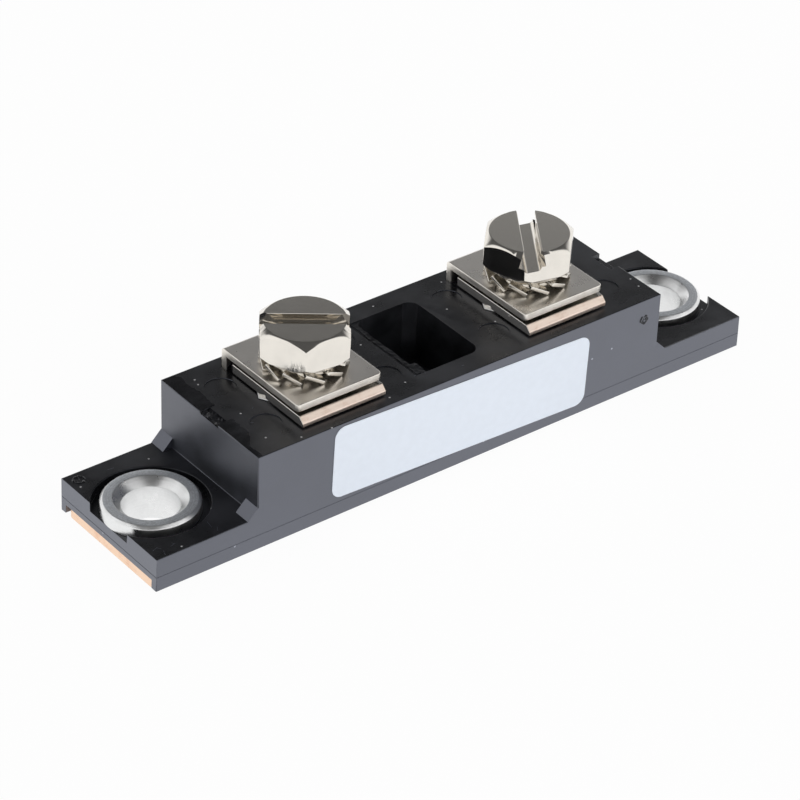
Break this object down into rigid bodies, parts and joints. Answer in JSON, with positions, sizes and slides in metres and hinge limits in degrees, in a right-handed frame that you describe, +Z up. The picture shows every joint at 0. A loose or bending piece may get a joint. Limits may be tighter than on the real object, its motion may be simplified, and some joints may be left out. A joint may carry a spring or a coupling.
{
  "type": "schottky diode module",
  "caption": "Power diode module: black moulded housing on a copper base, a bushed mounting flange at each end, a middle pocket and slotted hexagon screw terminals on bent straps.",
  "frame": {"origin": "middle of the copper base's underside", "axes": "+X along the module towards side b, +Y away from the label, +Z up out of the base towards the terminal screws"},
  "size_m": [0.0924, 0.0204, 0.023],
  "materials": {
    "housing_plastic": "glossy black moulding with faint flow marks",
    "bare_copper": "bare sawn copper",
    "adhesive": "cured sealant",
    "turned_aluminium": "turned, fine rings",
    "plated_strap": "satin nickel plate",
    "plated_copper": "plated faces, bare copper edges",
    "nickel_plate": "bright nickel plate",
    "label_film": "satin white film",
    "silicon": "polished wafer",
    "solder": "dull solder",
    "silicone_gel": "soft translucent gel"
  },
  "bodies": {
    "root": {"housing": "housing_plastic", "base_plate": "bare_copper", "base_seal": "adhesive", "mounting_bushing_a": "turned_aluminium", "mounting_bushing_b": "turned_aluminium", "terminal_strap_a": "plated_strap", "terminal_strap_b": "plated_strap", "contact_plate_a": "plated_copper", "contact_plate_b": "plated_copper", "terminal_screws": "nickel_plate", "lock_washers": "nickel_plate", "captive_nuts": "nickel_plate", "label": "label_film", "diode_chip_a": "silicon", "diode_chip_b": "silicon", "base_solder_a": "solder", "base_solder_b": "solder", "lead_solder_a": "solder", "lead_solder_b": "solder", "gel_fill_a": "silicone_gel", "gel_fill_b": "silicone_gel"}
  },
  "joints": []
}
